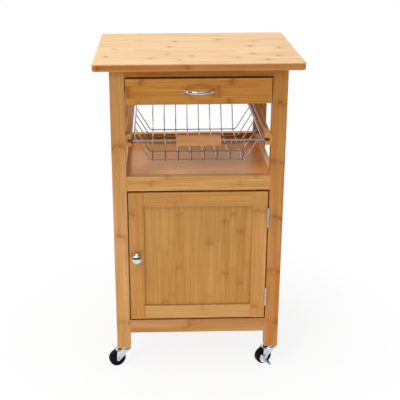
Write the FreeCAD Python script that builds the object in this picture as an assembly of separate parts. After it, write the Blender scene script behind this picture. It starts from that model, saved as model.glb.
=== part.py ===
import FreeCAD, Part
import math
import os
from FreeCAD import Vector

# A bamboo kitchen cart on four swivel casters: a worktop, a drawer, a sliding wire basket,
# an open shelf tray and a cabinet with one hinged door. Millimetres, +Z up, front towards -Y,
# origin on the floor under the middle of the cart.

# Worktop
worktop_width = 480.0
worktop_depth = 400.0
worktop_thickness = 18.0
worktop_corner = 10.0
worktop_top_round = 4.0
worktop_under_round = 1.5

# Legs, measured over their outer faces
base_width = 405.0
base_depth = 378.0
leg_width = 34.0
leg_depth = 28.0
leg_length = 710.0
leg_round = 2.0

# Rails and boards
wood_round = 1.5
rail_thickness = 18.0
rail_setback = 1.0
front_top_rail_height = 15.0
front_top_rail_depth = 22.0
apron_height = 75.0
side_apron_thickness = 16.0
side_apron_setback = 6.5
bottom_rail_height = 36.0
bottom_rail_rise = 43.0
tray_rail_height = 36.0
tray_side_thickness = 13.0
tray_side_setback = 3.0
shelf_thickness = 9.0
shelf_rise = 2.0
floor_thickness = 9.0
side_panel_thickness = 9.0
back_panel_thickness = 5.0
housing_depth = 6.0
floor_housing_depth = 4.0
housing_clearance = 0.1

# Dowels and wood screws
dowel_diameter = 8.0
dowel_length = 30.0
short_dowel_length = 24.0
dowel_clearance = 0.05
pair_inset = 0.28
screw_diameter = 4.0
screw_head_diameter = 7.2
screw_head_height = 2.2
screw_hold = 15.0
screw_clearance = 0.05
worktop_screw_hold = 12.0
worktop_screw_spread = 180.0
worktop_screw_seat = 20.0
counterbore_diameter = 9.0

# Door
door_height = 335.0
door_thickness = 18.0
door_end_gap = 4.0
door_member = 36.0
door_panel_thickness = 6.0
door_panel_housing = 7.0
door_panel_slack = 1.0
door_panel_setback = 6.0

# Butt hinges
hinge_height = 48.0
hinge_top_inset = 42.0
hinge_bottom_inset = 35.0
hinge_knuckles = 5
hinge_leaf = 1.1
hinge_leaf_play = 0.3
hinge_leaf_margin = 2.0
knuckle_diameter = 5.2
knuckle_stand = 2.4
knuckle_gap = 0.2
pin_diameter = 2.4
pin_head_height = 1.2
running_clearance = 0.05
hinge_screw_diameter = 3.0
hinge_screw_head_diameter = 5.2
hinge_screw_head_height = 1.4
hinge_screw_hold = 12.0
hinge_screw_spacing = 15.0

# Knob, its screw and the magnetic catch
knob_length = 25.0
knob_diameter = 24.0
knob_foot_diameter = 17.0
knob_foot_height = 2.5
knob_neck_diameter = 9.0
knob_neck_length = 11.0
knob_dome = 6.0
knob_brim = 2.5
knob_height_on_door = 170.0
bolt_diameter = 4.0
bolt_head_diameter = 8.0
bolt_head_height = 2.4
bolt_bite = 6.0
catch_width = 12.0
catch_height = 30.0
catch_depth = 22.0
catch_plate_thickness = 1.0
catch_gap = 0.3
catch_margin = 2.0

# Drawer
drawer_front_height = 59.0
drawer_front_thickness = 16.0
drawer_top_gap = 4.0
drawer_side_gap = 2.5
drawer_box_height = 44.0
drawer_box_rise = 8.0
drawer_box_length = 300.0
drawer_wall = 12.0
drawer_bottom_thickness = 4.0
drawer_bottom_rise = 4.0
drawer_bottom_housing = 5.0
drawer_dowel_diameter = 6.0
drawer_dowel_length = 20.0
runner_thickness = 11.0
runner_height = 10.0
runner_reach = 4.5
runner_clearance = 0.3
runner_side_clearance = 1.0
handle_spacing = 64.0
handle_reach = 22.0
handle_height = 8.4
handle_thickness = 4.6
handle_foot_diameter = 13.0
handle_foot_height = 2.5
handle_foot_cover = 0.7

# Basket rails and wire basket
basket_rail_thickness = 12.5
basket_rail_height = 28.0
basket_rail_setback = 3.0
basket_headroom = 72.0
groove_depth = 8.5
groove_rise = 10.0
groove_stop = 8.0
glide_diameter = 6.4
glide_length = 10.0
glide_clearance = 0.3
glide_end_gap = 1.5
glide_wall = 1.2
rod_diameter = 4.4
rod_inset = 4.0
rim_diameter = 3.8
rim_gap = 5.0
basket_wire_diameter = 2.6
basket_height = 62.0
basket_length = 338.0
basket_side_slope = 36.0
basket_end_slope = 35.0
basket_bend = 9.0
long_wire_count = 8
long_wire_spacing = 30.5
cross_wire_count = 5
cross_wire_margin = 6.0
weld_sink = 0.4
grip_wire_count = 4
grip_end = 5.75
grip_height = 24.0
grip_depth = 16.0
grip_round = 2.0
grip_slot_clearance = 0.4

# Casters
caster_height = 50.0
wheel_diameter = 42.0
wheel_width = 16.0
wheel_round = 3.0
wheel_rim_wall = 4.5
wheel_dish = 2.5
hub_diameter = 13.0
hub_side_gap = 0.3
cheek_gap = 1.2
caster_trail = 20.0
front_caster_turn = 204.0
rear_caster_turn = 236.0
fork_thickness = 1.8
fork_plate_diameter = 32.0
fork_plate_drop = 0.3
fork_lug_width = 7.0
fork_lug_offset = 1.5
fork_lug_rise = 12.0
cheek_front = 3.5
cheek_rear = 13.0
cheek_foot_diameter = 10.5
cup_diameter = 25.0
cup_height = 5.0
cup_round = 2.0
stem_diameter = 8.0
stem_length = 36.0
stem_head_diameter = 12.0
stem_head_height = 2.5
axle_diameter = 6.0
axle_head_diameter = 9.5
axle_head_height = 2.0
brake_thickness = 1.5
brake_gap = 0.3
brake_hub_diameter = 14.0
brake_radius = 15.5
brake_chord = 2.0
brake_lean = -41.0
brake_tab_width = 8.5
brake_tab_reach = 18.0
brake_tab_drop = 14.0
brake_tab_offset = 2.0

# Faces and levels that the pieces share
x_axis = Vector(1, 0, 0)
y_axis = Vector(0, 1, 0)
z_axis = Vector(0, 0, 1)
middle_y = (base_depth / 2 + knob_length - worktop_depth / 2) / 2
front_y = middle_y - base_depth / 2
rear_y = middle_y + base_depth / 2
outer_x = base_width / 2
inner_x = outer_x - leg_width
leg_foot = caster_height
leg_top = leg_foot + leg_length
front_rail_y = (front_y + rail_setback, front_y + rail_setback + rail_thickness)
rear_rail_y = (rear_y - rail_setback - rail_thickness, rear_y - rail_setback)
between_rails_y = (front_rail_y[1], rear_rail_y[0])
bottom_rail_z = (leg_foot + bottom_rail_rise, leg_foot + bottom_rail_rise + bottom_rail_height)
door_z = (bottom_rail_z[1] + door_end_gap, bottom_rail_z[1] + door_end_gap + door_height)
tray_z = (door_z[1] + door_end_gap, door_z[1] + door_end_gap + tray_rail_height)
shelf_z = (tray_z[0] + shelf_rise, tray_z[0] + shelf_rise + shelf_thickness)
floor_z = (bottom_rail_z[1] - floor_thickness, bottom_rail_z[1])
apron_z = (leg_top - apron_height, leg_top)
drawer_top = leg_top - front_top_rail_height - drawer_top_gap
drawer_z = (drawer_top - drawer_front_height, drawer_top)
basket_rail_top = drawer_z[0] - basket_headroom
basket_rail_z = (basket_rail_top - basket_rail_height, basket_rail_top)
front_leg_y = front_y + leg_depth / 2
rear_leg_y = rear_y - leg_depth / 2
leg_x = outer_x - leg_width / 2

straight = 0.001
nodes = {}
sides = (("left", -1), ("right", 1))


def span(side, near, far):
    """An X range on one side of the cart, given as distances from its middle."""
    return tuple(sorted((side * near, side * far)))


def block(x, y, z):
    """A box from three (low, high) ranges."""
    return Part.makeBox(x[1] - x[0], y[1] - y[0], z[1] - z[0], Vector(x[0], y[0], z[0]))


def eased(solid, axis, radius):
    """The solid with its edges along one axis rounded."""
    edges = [e for e in solid.Edges if e.tangentAt(e.FirstParameter).cross(axis).Length < straight]
    return solid.makeFillet(radius, edges)


def rod(radius, start, end):
    """A round bar between two points."""
    return Part.makeCylinder(radius, (end - start).Length, start, end - start)


def turned(outline):
    """A solid of revolution about Z from an outline of (radius, height) points, or edges."""
    if isinstance(outline[0], tuple):
        points = [Vector(r, 0, h) for r, h in outline]
        wire = Part.makePolygon(points + points[:1])
    else:
        wire = Part.Wire(outline)
    return Part.Face(wire).revolve(Vector(), z_axis, 360)


def flat_plate(points, axis, thickness):
    """A plate with a straight-sided outline, thickened along an axis."""
    return Part.Face(Part.makePolygon(points + points[:1])).extrude(axis * thickness)


def bent_wire(points, radius, bend):
    """A round wire with straight runs and one bend radius at every corner."""
    edges = []
    start = points[0]
    for before, corner, after in zip(points, points[1:], points[2:]):
        inward = (before - corner).normalize()
        onward = (after - corner).normalize()
        half_angle = inward.getAngle(onward) / 2
        tangent = bend / math.tan(half_angle)
        bisector = (inward + onward).normalize()
        middle = corner + bisector * (bend / math.sin(half_angle) - bend)
        first = corner + inward * tangent
        last = corner + onward * tangent
        edges.append(Part.makeLine(start, first))
        edges.append(Part.Arc(first, middle, last).toShape())
        start = last
    edges.append(Part.makeLine(start, points[-1]))
    section = Part.makeCircle(radius, points[0], points[1] - points[0])
    return Part.Wire(edges).makePipeShell([Part.Wire([section])], True, False)


def countersunk(head, aim, length, diameter, head_diameter, head_height, clearance=0.0):
    """A countersunk screw from the middle of its head, or with a clearance the hole for it."""
    shank = diameter / 2 + clearance
    top = head_diameter / 2 + clearance
    taper = Part.makeCone(top, shank, head_height, head, aim)
    return taper.fuse(Part.makeCylinder(shank, length + clearance, head, aim)).removeSplitter()


def flat_bolt(head, aim, length, clearance=0.0):
    """A flat-headed bolt from the seat of its head, or with a clearance the hole for its shank."""
    shank = Part.makeCylinder(bolt_diameter / 2 + clearance, length + clearance, head, aim)
    if clearance:
        return shank
    return shank.fuse(Part.makeCylinder(bolt_head_diameter / 2, bolt_head_height, head, aim * -1))


dowels = []
dowel_holes = []
screws = []
screw_holes = []


def dowel_and_hole(middle, axis, diameter, length):
    """A dowel across a joint, and the hole for it in both pieces."""
    half = axis * (length / 2)
    deeper = axis * (length / 2 + housing_clearance)
    dowel = rod(diameter / 2, middle - half, middle + half)
    return dowel, rod(diameter / 2 + dowel_clearance, middle - deeper, middle + deeper)


def add_dowel(middle, axis, length=dowel_length):
    """A dowel of the frame and its hole."""
    dowel, hole = dowel_and_hole(middle, axis, dowel_diameter, length)
    dowels.append(dowel)
    dowel_holes.append(hole)


def add_screw(head, aim, length):
    """A wood screw of the frame and its countersunk hole."""
    sizes = (head, aim, length, screw_diameter, screw_head_diameter, screw_head_height)
    screws.append(countersunk(*sizes))
    screw_holes.append(countersunk(*sizes, clearance=screw_clearance))


def share(low_high, part):
    """The point at a fraction of the way through a range."""
    return low_high[0] + (low_high[1] - low_high[0]) * part


def mid(low_high):
    """The middle of a range."""
    return (low_high[0] + low_high[1]) / 2


def pair(low_high):
    """Two places in a range, the same way in from each of its ends."""
    return share(low_high, pair_inset), share(low_high, 1 - pair_inset)


# Worktop: one board of glued staves with rounded corners and a well rounded top edge
top_y = (middle_y - worktop_depth / 2, middle_y + worktop_depth / 2)
top_z = (leg_top, leg_top + worktop_thickness)
worktop = eased(block((-worktop_width / 2, worktop_width / 2), top_y, top_z), z_axis, worktop_corner)
top_edges = [e for e in worktop.Edges if e.BoundBox.ZMin > top_z[1] - wood_round]
worktop = worktop.makeFillet(worktop_top_round, top_edges)
under_edges = [e for e in worktop.Edges if e.BoundBox.ZMax < top_z[0] + wood_round]
nodes["worktop"] = worktop.makeFillet(worktop_under_round, under_edges)

# Legs: straight square posts, each with a hole in its foot for a caster's stem
leg_places = {}
for end, y in (("front", front_leg_y), ("rear", rear_leg_y)):
    for side, sign in sides:
        name = "leg_%s_%s" % (end, side)
        leg_places[name] = Vector(sign * leg_x, y, leg_foot)
        x_range = span(sign, inner_x, outer_x)
        y_range = (y - leg_depth / 2, y + leg_depth / 2)
        post = eased(block(x_range, y_range, (leg_foot, leg_top)), z_axis, leg_round)
        stem_hole = stem_diameter / 2 + running_clearance
        hole = Part.makeCylinder(stem_hole, stem_length + screw_clearance, leg_places[name])
        nodes[name] = post.cut(hole)

# Rails across the front and the rear, doweled into the legs
rail_x = (-inner_x, inner_x)
front_top_y = (front_y + rail_setback, front_y + rail_setback + front_top_rail_depth)
front_top_z = (leg_top - front_top_rail_height, leg_top)
cross_rails = {
    "front_top_rail": (front_top_y, front_top_z, (mid(front_top_z),)),
    "rear_top_rail": (rear_rail_y, apron_z, pair(apron_z)),
}
tray_dowels = pair((shelf_z[1], tray_z[1]))
bottom_dowels = pair((bottom_rail_z[0], floor_z[0]))
for end, y_range in (("front", front_rail_y), ("rear", rear_rail_y)):
    cross_rails["shelf_%s_rail" % end] = (y_range, tray_z, tray_dowels)
    cross_rails["bottom_%s_rail" % end] = (y_range, bottom_rail_z, bottom_dowels)
for name, (y_range, z_range, dowel_levels) in cross_rails.items():
    nodes[name] = eased(block(rail_x, y_range, z_range), x_axis, wood_round)
    for level in dowel_levels:
        for _, sign in sides:
            add_dowel(Vector(sign * inner_x, mid(y_range), level), x_axis)

# Side aprons under the worktop, doweled between the front and rear legs
apron_x = (outer_x - side_apron_setback - side_apron_thickness, outer_x - side_apron_setback)
between_legs_y = (front_y + leg_depth, rear_y - leg_depth)
side_aprons = []
for _, sign in sides:
    side_aprons.append(eased(block(span(sign, *apron_x), between_legs_y, apron_z), y_axis, wood_round))
    for level in cross_rails["rear_top_rail"][2]:
        for y in between_legs_y:
            add_dowel(Vector(sign * mid(apron_x), y, level), y_axis)
nodes["side_aprons"] = Part.makeCompound(side_aprons)

# Screws up into the worktop, the rear ones at the top of deep counterbores
rear_seat = leg_top - worktop_screw_seat
for y_range, seat in ((front_top_y, front_top_z[0]), (rear_rail_y, rear_seat)):
    for _, sign in sides:
        head = Vector(sign * worktop_screw_spread / 2, mid(y_range), seat)
        add_screw(head, z_axis, leg_top - seat + worktop_screw_hold)
for _, sign in sides:
    foot = Vector(sign * worktop_screw_spread / 2, mid(rear_rail_y), apron_z[0])
    counterbore = Part.makeCylinder(counterbore_diameter / 2, rear_seat - apron_z[0], foot)
    nodes["rear_top_rail"] = nodes["rear_top_rail"].cut(counterbore)

# Side rails of the tray, doweled between the legs, and the shelf board housed in the four rails
tray_side_x = (inner_x + tray_side_setback, inner_x + tray_side_setback + tray_side_thickness)
shelf_x = tray_side_x[0] + housing_depth - housing_clearance
shelf_y = (between_rails_y[0] - housing_depth + housing_clearance,
           between_rails_y[1] + housing_depth - housing_clearance)
shelf = block((-shelf_x, shelf_x), shelf_y, shelf_z)
shelf_room = block((-shelf_x - housing_clearance, shelf_x + housing_clearance),
                   (shelf_y[0] - housing_clearance, shelf_y[1] + housing_clearance),
                   (shelf_z[0], shelf_z[1] + housing_clearance))
corner_x = (inner_x - housing_clearance, outer_x)
corner_depth = leg_depth + housing_clearance
for side, sign in sides:
    rail = eased(block(span(sign, *tray_side_x), between_legs_y, tray_z), y_axis, wood_round)
    nodes["shelf_side_rail_" + side] = rail.cut(shelf_room)
    for level in tray_dowels:
        for y in between_legs_y:
            add_dowel(Vector(sign * mid(tray_side_x), y, level), y_axis, short_dowel_length)
    for corner_y in ((front_y, front_y + corner_depth), (rear_y - corner_depth, rear_y)):
        shelf = shelf.cut(block(span(sign, *corner_x), corner_y, shelf_z))
nodes["shelf_board"] = shelf
for end in ("front", "rear"):
    nodes["shelf_%s_rail" % end] = nodes["shelf_%s_rail" % end].cut(shelf_room)

# Cabinet: side panels screwed to the legs' inner faces, a floor housed in them, a back housed in the rails
panel_x = (inner_x - side_panel_thickness, inner_x)
panel_z = (bottom_rail_z[0], tray_z[0])
floor_x = panel_x[0] + floor_housing_depth - housing_clearance
nodes["cabinet_floor"] = block((-floor_x, floor_x), between_rails_y, floor_z)
floor_room = block((-floor_x - housing_clearance, floor_x + housing_clearance), between_rails_y,
                   (floor_z[0], floor_z[1] + housing_clearance))
front_hold_y = (between_rails_y[0], between_legs_y[0])
rear_hold_y = (between_legs_y[1], between_rails_y[1])
for side, sign in sides:
    panel = block(span(sign, *panel_x), between_rails_y, panel_z)
    nodes["side_panel_" + side] = panel.cut(floor_room)
    for y in (mid(front_hold_y), mid(rear_hold_y)):
        for level in pair(panel_z):
            head = Vector(sign * panel_x[0], y, level)
            add_screw(head, x_axis * sign, side_panel_thickness + screw_hold)
back_middle = mid(rear_rail_y)
back_y = (back_middle - back_panel_thickness / 2, back_middle + back_panel_thickness / 2)
back_z = (bottom_rail_z[1] - housing_depth, tray_z[0] + housing_depth - housing_clearance)
nodes["back_panel"] = block(rail_x, back_y, back_z)
back_room = block(rail_x, (back_y[0] - housing_clearance, back_y[1] + housing_clearance),
                  (back_z[0], back_z[1] + housing_clearance))
for name in ("shelf_rear_rail", "bottom_rear_rail"):
    nodes[name] = nodes[name].cut(back_room)

# Basket rails: grooved from the front end to a stop near the rear, screwed inside the legs
basket_rail_x = (inner_x - basket_rail_thickness, inner_x)
basket_rail_y = (front_y + basket_rail_setback, rear_y - basket_rail_setback)
groove_x = (basket_rail_x[0] - wood_round, basket_rail_x[0] + groove_depth)
groove_y = (basket_rail_y[0] - wood_round, basket_rail_y[1] - groove_stop)
groove_height = glide_diameter + 2 * glide_clearance
groove_z = (basket_rail_z[0] + groove_rise, basket_rail_z[0] + groove_rise + groove_height)
basket_screw_z = [mid((basket_rail_z[0], groove_z[0])), mid((groove_z[1], basket_rail_z[1]))]
for side, sign in sides:
    rail = eased(block(span(sign, *basket_rail_x), basket_rail_y, basket_rail_z), y_axis, wood_round)
    nodes["basket_rail_" + side] = rail.cut(block(span(sign, *groove_x), groove_y, groove_z))
    for y in (front_leg_y, rear_leg_y):
        for level in basket_screw_z:
            head = Vector(sign * basket_rail_x[0], y, level)
            add_screw(head, x_axis * sign, basket_rail_thickness + screw_hold)

# Drawer runners: strips inside the legs that the grooved drawer sides slide on
drawer_back_face = front_y + drawer_front_thickness
drawer_box_z = (drawer_z[0] + drawer_box_rise, drawer_z[0] + drawer_box_rise + drawer_box_height)
runner_x = (inner_x - runner_thickness, inner_x)
runner_y = (drawer_back_face + runner_side_clearance, rear_rail_y[0])
runner_middle = mid(drawer_box_z)
runner_z = (runner_middle - runner_height / 2, runner_middle + runner_height / 2)
runners = []
for _, sign in sides:
    runners.append(block(span(sign, *runner_x), runner_y, runner_z))
    for y in (mid((runner_y[0], between_legs_y[0])), mid((between_legs_y[1], runner_y[1]))):
        head = Vector(sign * runner_x[0], y, runner_middle)
        add_screw(head, x_axis * sign, runner_thickness + screw_hold)
nodes["drawer_runners"] = Part.makeCompound(runners)

# Drawer box: grooved sides on the runners, doweled to the front and to a back between them,
# and a bottom housed in the sides and the front
drawer_front_x = inner_x - drawer_side_gap
side_x = (runner_x[0] + runner_reach - drawer_wall, runner_x[0] + runner_reach)
box_y = (drawer_back_face, drawer_back_face + drawer_box_length)
back_wall_y = (box_y[1] - drawer_wall, box_y[1])
bottom_level = drawer_box_z[0] + drawer_bottom_rise
bottom_z = (bottom_level, bottom_level + drawer_bottom_thickness)
bottom_x = side_x[0] + drawer_bottom_housing - housing_clearance
bottom_y = (drawer_back_face - drawer_bottom_housing + housing_clearance, back_wall_y[0])
bottom_room = block((-bottom_x - housing_clearance, bottom_x + housing_clearance),
                    (bottom_y[0] - housing_clearance, bottom_y[1]),
                    (bottom_z[0], bottom_z[1] + housing_clearance))
nodes["drawer_bottom"] = block((-bottom_x, bottom_x), bottom_y, bottom_z)
runner_slot_x = (runner_x[0] - runner_side_clearance, side_x[1] + wood_round)
runner_slot_y = (box_y[0], box_y[1] + wood_round)
runner_slot_z = (runner_z[0] - runner_clearance, runner_z[1] + runner_clearance)
drawer_dowels = []
drawer_dowel_holes = []
for _, sign in sides:
    joints = ((Vector(sign * mid(side_x), box_y[0], 0), y_axis),
              (Vector(sign * side_x[0], mid(back_wall_y), 0), x_axis))
    for place, axis in joints:
        for level in pair(drawer_box_z):
            middle = place + z_axis * level
            dowel, hole = dowel_and_hole(middle, axis, drawer_dowel_diameter, drawer_dowel_length)
            drawer_dowels.append(dowel)
            drawer_dowel_holes.append(hole)
nodes["drawer_dowels"] = Part.makeCompound(drawer_dowels)
drawer_dowel_room = Part.makeCompound(drawer_dowel_holes)
for side, sign in sides:
    wall = block(span(sign, *side_x), box_y, drawer_box_z)
    wall = wall.cut(block(span(sign, *runner_slot_x), runner_slot_y, runner_slot_z))
    nodes["drawer_side_" + side] = wall.cut(bottom_room).cut(drawer_dowel_room)
back_wall = block((-side_x[0], side_x[0]), back_wall_y, drawer_box_z)
nodes["drawer_back"] = back_wall.cut(drawer_dowel_room)
front_board = block((-drawer_front_x, drawer_front_x), (front_y, drawer_back_face), drawer_z)
front_board = eased(front_board, x_axis, wood_round).cut(bottom_room).cut(drawer_dowel_room)

# Drawer handle: a bow on two round feet, held by bolts from inside the drawer
handle_z = mid(drawer_z)
half_spacing = handle_spacing / 2
bow_rise = handle_reach - handle_thickness / 2
bow_radius = (half_spacing ** 2 + bow_rise ** 2) / (2 * bow_rise)
bow_middle = Vector(0, front_y - bow_rise + bow_radius, handle_z)
section_place = Vector(0, front_y - bow_rise, handle_z)
section = Part.Ellipse(section_place + z_axis * (handle_height / 2),
                       section_place + y_axis * (handle_thickness / 2), section_place)
ring = Part.Face(Part.Wire([section.toShape()])).revolve(bow_middle, z_axis, 360)
reach_box = block((-inner_x, inner_x), (front_y - 2 * handle_reach, front_y), drawer_z)
handle = ring.common(reach_box)
handle_bolts = []
handle_bolt_holes = []
for _, sign in sides:
    foot = Vector(sign * half_spacing, front_y, handle_z)
    handle = handle.fuse(Part.makeCylinder(handle_foot_diameter / 2, handle_foot_height, foot, y_axis * -1))
    seat = Vector(foot.x, drawer_back_face, handle_z)
    length = drawer_front_thickness + handle_foot_height - handle_foot_cover
    handle_bolts.append(flat_bolt(seat, y_axis * -1, length))
    handle_bolt_holes.append(flat_bolt(seat, y_axis * -1, length, screw_clearance))
bolt_room = Part.makeCompound(handle_bolt_holes)
nodes["drawer_front"] = front_board.cut(bolt_room)
nodes["drawer_handle"] = handle.removeSplitter().cut(bolt_room)
nodes["handle_bolts"] = Part.makeCompound(handle_bolts)

# Wire basket rim: a rod across each end, joined by a wire along each side
groove_middle = mid(groove_z)
rod_x = basket_rail_x[0] + groove_depth - glide_end_gap - glide_wall
rod_y = (front_y + rod_inset, front_y + rod_inset + basket_length)
rim_x = basket_rail_x[0] - rim_gap - rim_diameter / 2
rim_parts = []
for y in rod_y:
    rim_parts.append(rod(rod_diameter / 2, Vector(-rod_x, y, groove_middle), Vector(rod_x, y, groove_middle)))
for _, sign in sides:
    ends = [Vector(sign * rim_x, y, groove_middle) for y in rod_y]
    rim_parts.append(rod(rim_diameter / 2, *ends))
nodes["basket_rim"] = rim_parts[0].multiFuse(rim_parts[1:])

# Long wires run front to back in one U, welded under both rods
wire_radius = basket_wire_diameter / 2
floor_level = groove_middle - basket_height
long_wires = []
long_wire_x = [(i - (long_wire_count - 1) / 2) * long_wire_spacing for i in range(long_wire_count)]
for x in long_wire_x:
    corners = [(rod_y[0], groove_middle), (rod_y[0] + basket_end_slope, floor_level),
               (rod_y[1] - basket_end_slope, floor_level), (rod_y[1], groove_middle)]
    points = [Vector(x, y, z) for y, z in corners]
    trim = rod_diameter / 2 - weld_sink
    points[0] += (points[1] - points[0]).normalize() * trim
    points[-1] += (points[-2] - points[-1]).normalize() * trim
    long_wires.append(bent_wire(points, wire_radius, basket_bend))
nodes["basket_long_wires"] = Part.makeCompound(long_wires)

# Cross wires lie on the long ones and rise to the rim wires
cross_level = floor_level + basket_wire_diameter - weld_sink
cross_y = (rod_y[0] + basket_end_slope + cross_wire_margin, rod_y[1] - basket_end_slope - cross_wire_margin)
cross_wires = []
for i in range(cross_wire_count):
    y = share(cross_y, i / (cross_wire_count - 1))
    corners = [(-rim_x, groove_middle), (-rim_x + basket_side_slope, cross_level),
               (rim_x - basket_side_slope, cross_level), (rim_x, groove_middle)]
    points = [Vector(x, y, z) for x, z in corners]
    trim = rim_diameter / 2 - weld_sink
    points[0] += (points[1] - points[0]).normalize() * trim
    points[-1] += (points[-2] - points[-1]).normalize() * trim
    cross_wires.append(bent_wire(points, wire_radius, basket_bend))
nodes["basket_cross_wires"] = Part.makeCompound(cross_wires)

# Glides: plastic caps on the rods' ends that run in the rail grooves
glides = []
for y in rod_y:
    for _, sign in sides:
        tip = Vector(sign * (rod_x + glide_wall), y, groove_middle)
        cap = Part.makeCylinder(glide_diameter / 2, glide_length, tip, x_axis * -sign)
        bore_foot = tip - x_axis * (sign * glide_wall)
        bore_radius = rod_diameter / 2 + running_clearance
        bore = Part.makeCylinder(bore_radius, glide_length, bore_foot, x_axis * -sign)
        glides.append(cap.cut(bore))
nodes["basket_glides"] = Part.makeCompound(glides)

# Grip: a wooden bar bored for the front rod and slotted behind for the long wires
grip_length = (grip_wire_count - 1) * long_wire_spacing + 2 * grip_end
grip_z = (groove_middle - grip_height / 2, groove_middle + grip_height / 2)
grip_y = (rod_y[0] - grip_depth / 2, rod_y[0] + grip_depth / 2)
grip = eased(block((-grip_length / 2, grip_length / 2), grip_y, grip_z), x_axis, grip_round)
bore_end = Vector(grip_length, rod_y[0], groove_middle)
bore_start = Vector(-grip_length, rod_y[0], groove_middle)
grip = grip.cut(rod(rod_diameter / 2 + running_clearance, bore_start, bore_end))
slot_half = wire_radius + grip_slot_clearance
slot_y = (rod_y[0] - slot_half, grip_y[1] + grip_round)
slot_z = (grip_z[0] - grip_round, groove_middle)
for x in long_wire_x:
    grip = grip.cut(block((x - slot_half, x + slot_half), slot_y, slot_z))
nodes["basket_grip"] = grip

# Door: two stiles and two rails tongued into them, round a flat sunk panel
door_side_gap = 2 * hinge_leaf + hinge_leaf_play
door_x = (-inner_x + door_side_gap, inner_x - door_side_gap)
door_y = (front_y, front_y + door_thickness)
opening_x = (door_x[0] + door_member, door_x[1] - door_member)
opening_z = (door_z[0] + door_member, door_z[1] - door_member)
panel_y = (front_y + door_panel_setback, front_y + door_panel_setback + door_panel_thickness)
tongue_y = (panel_y[0] + housing_clearance, panel_y[1] - housing_clearance)
groove = door_panel_housing + door_panel_slack
groove_room = block((opening_x[0] - groove, opening_x[1] + groove), panel_y,
                    (opening_z[0] - groove, opening_z[1] + groove))
slim = door_panel_housing
nodes["door_panel"] = block((opening_x[0] - slim, opening_x[1] + slim), tongue_y,
                            (opening_z[0] - groove, opening_z[1] + slim))
stile_groove_x = (opening_x[0] - groove, opening_x[1] + groove)
stile_groove = block(stile_groove_x, panel_y, door_z)
for name, z_range in (("top", (opening_z[1], door_z[1])), ("bottom", (door_z[0], opening_z[0]))):
    bar = eased(block(opening_x, door_y, z_range), x_axis, wood_round)
    tongue = block((opening_x[0] - slim, opening_x[1] + slim), tongue_y, z_range)
    nodes["door_rail_" + name] = bar.fuse(tongue).cut(groove_room).removeSplitter()
stiles = {}
for name, x_range in (("knob", (door_x[0], opening_x[0])), ("hinge", (opening_x[1], door_x[1]))):
    stiles[name] = eased(block(x_range, door_y, door_z), z_axis, wood_round).cut(stile_groove)

# Knob: a turned mushroom on the free stile, held by a bolt from behind
knob_x = mid((door_x[0], opening_x[0]))
knob_z = door_z[0] + knob_height_on_door
foot_radius = knob_foot_diameter / 2
neck_radius = knob_neck_diameter / 2
cap_radius = knob_diameter / 2
dome_level = knob_length - knob_dome
brim_level = dome_level - knob_brim
dome_radius = (cap_radius ** 2 + knob_dome ** 2) / (2 * knob_dome)
dome_angle = math.asin(cap_radius / dome_radius) / 2
dome_middle = Vector(dome_radius * math.sin(dome_angle), 0,
                     knob_length - dome_radius * (1 - math.cos(dome_angle)))
knob_tip = Vector(0, 0, knob_length)
knob_corners = [knob_tip, Vector(), Vector(foot_radius, 0, 0), Vector(foot_radius, 0, knob_foot_height),
                Vector(neck_radius, 0, 2 * knob_foot_height), Vector(neck_radius, 0, knob_neck_length),
                Vector(cap_radius, 0, brim_level), Vector(cap_radius, 0, dome_level)]
knob_edges = [Part.makeLine(a, b) for a, b in zip(knob_corners, knob_corners[1:])]
knob_edges.append(Part.Arc(knob_corners[-1], dome_middle, knob_tip).toShape())
knob = turned(knob_edges)
knob.rotate(Vector(), x_axis, 90)
knob.translate(Vector(knob_x, front_y, knob_z))
knob_seat = Vector(knob_x, door_y[1], knob_z)
knob_bolt = flat_bolt(knob_seat, y_axis * -1, door_thickness + bolt_bite)
knob_bolt_hole = flat_bolt(knob_seat, y_axis * -1, door_thickness + bolt_bite, screw_clearance)
nodes["door_knob"] = knob.cut(knob_bolt_hole)

# Magnetic catch on the left side panel, above the knob, and its plate on the door
catch_x = (-panel_x[0], -panel_x[0] + catch_width)
catch_middle = mid((knob_z, door_z[1]))
catch_z = (catch_middle - catch_height / 2, catch_middle + catch_height / 2)
plate_y = (door_y[1], door_y[1] + catch_plate_thickness)
magnet_y = (plate_y[1] + catch_gap, plate_y[1] + catch_gap + catch_depth)
nodes["catch_magnet"] = block(catch_x, magnet_y, catch_z)
nodes["catch_plate"] = block((catch_x[0] + catch_gap, catch_x[1]), plate_y,
                             (catch_z[0] + catch_margin, catch_z[1] - catch_margin))

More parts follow.
